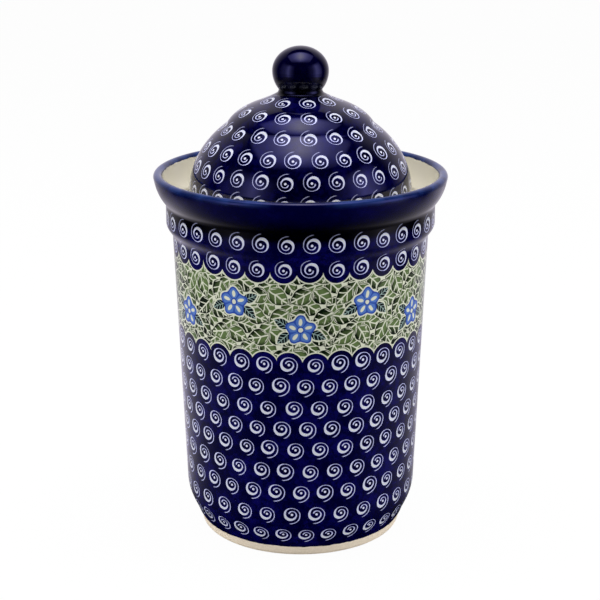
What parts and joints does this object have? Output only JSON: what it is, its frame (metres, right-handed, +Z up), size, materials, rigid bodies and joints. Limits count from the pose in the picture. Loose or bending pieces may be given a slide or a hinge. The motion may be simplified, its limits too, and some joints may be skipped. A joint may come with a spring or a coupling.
{
  "type": "kitchen canister",
  "caption": "Tall tapered stoneware canister with a raised collar and flared rim, and a loose two-tier domed lid with a ball knob that drops into the rim and rests on an inner ledge.",
  "frame": {"origin": "centre of the foot, on the surface that the pot stands on", "axes": "+Z up along the axis that the pot, the lid and the knob are turned about; the pictured side faces -Y"},
  "size_m": [0.166, 0.166, 0.2809],
  "materials": {
    "pot_glaze": "glossy cobalt glaze with pale stamped spirals, a cream band and cream inside, bare clay foot",
    "lid_glaze": "glossy cobalt glaze with pale stamped spirals, cream underside",
    "knob_glaze": "plain glossy cobalt glaze"
  },
  "bodies": {
    "pot": {"canister_body": "pot_glaze"},
    "lid": {"lid_dome": "lid_glaze", "lid_knob": "knob_glaze"}
  },
  "joints": [
    {"name": "lid_lift", "type": "slide", "parent": "pot", "child": "lid", "axis": [0, 0, 1], "range_m": [0, 0.12]}
  ]
}
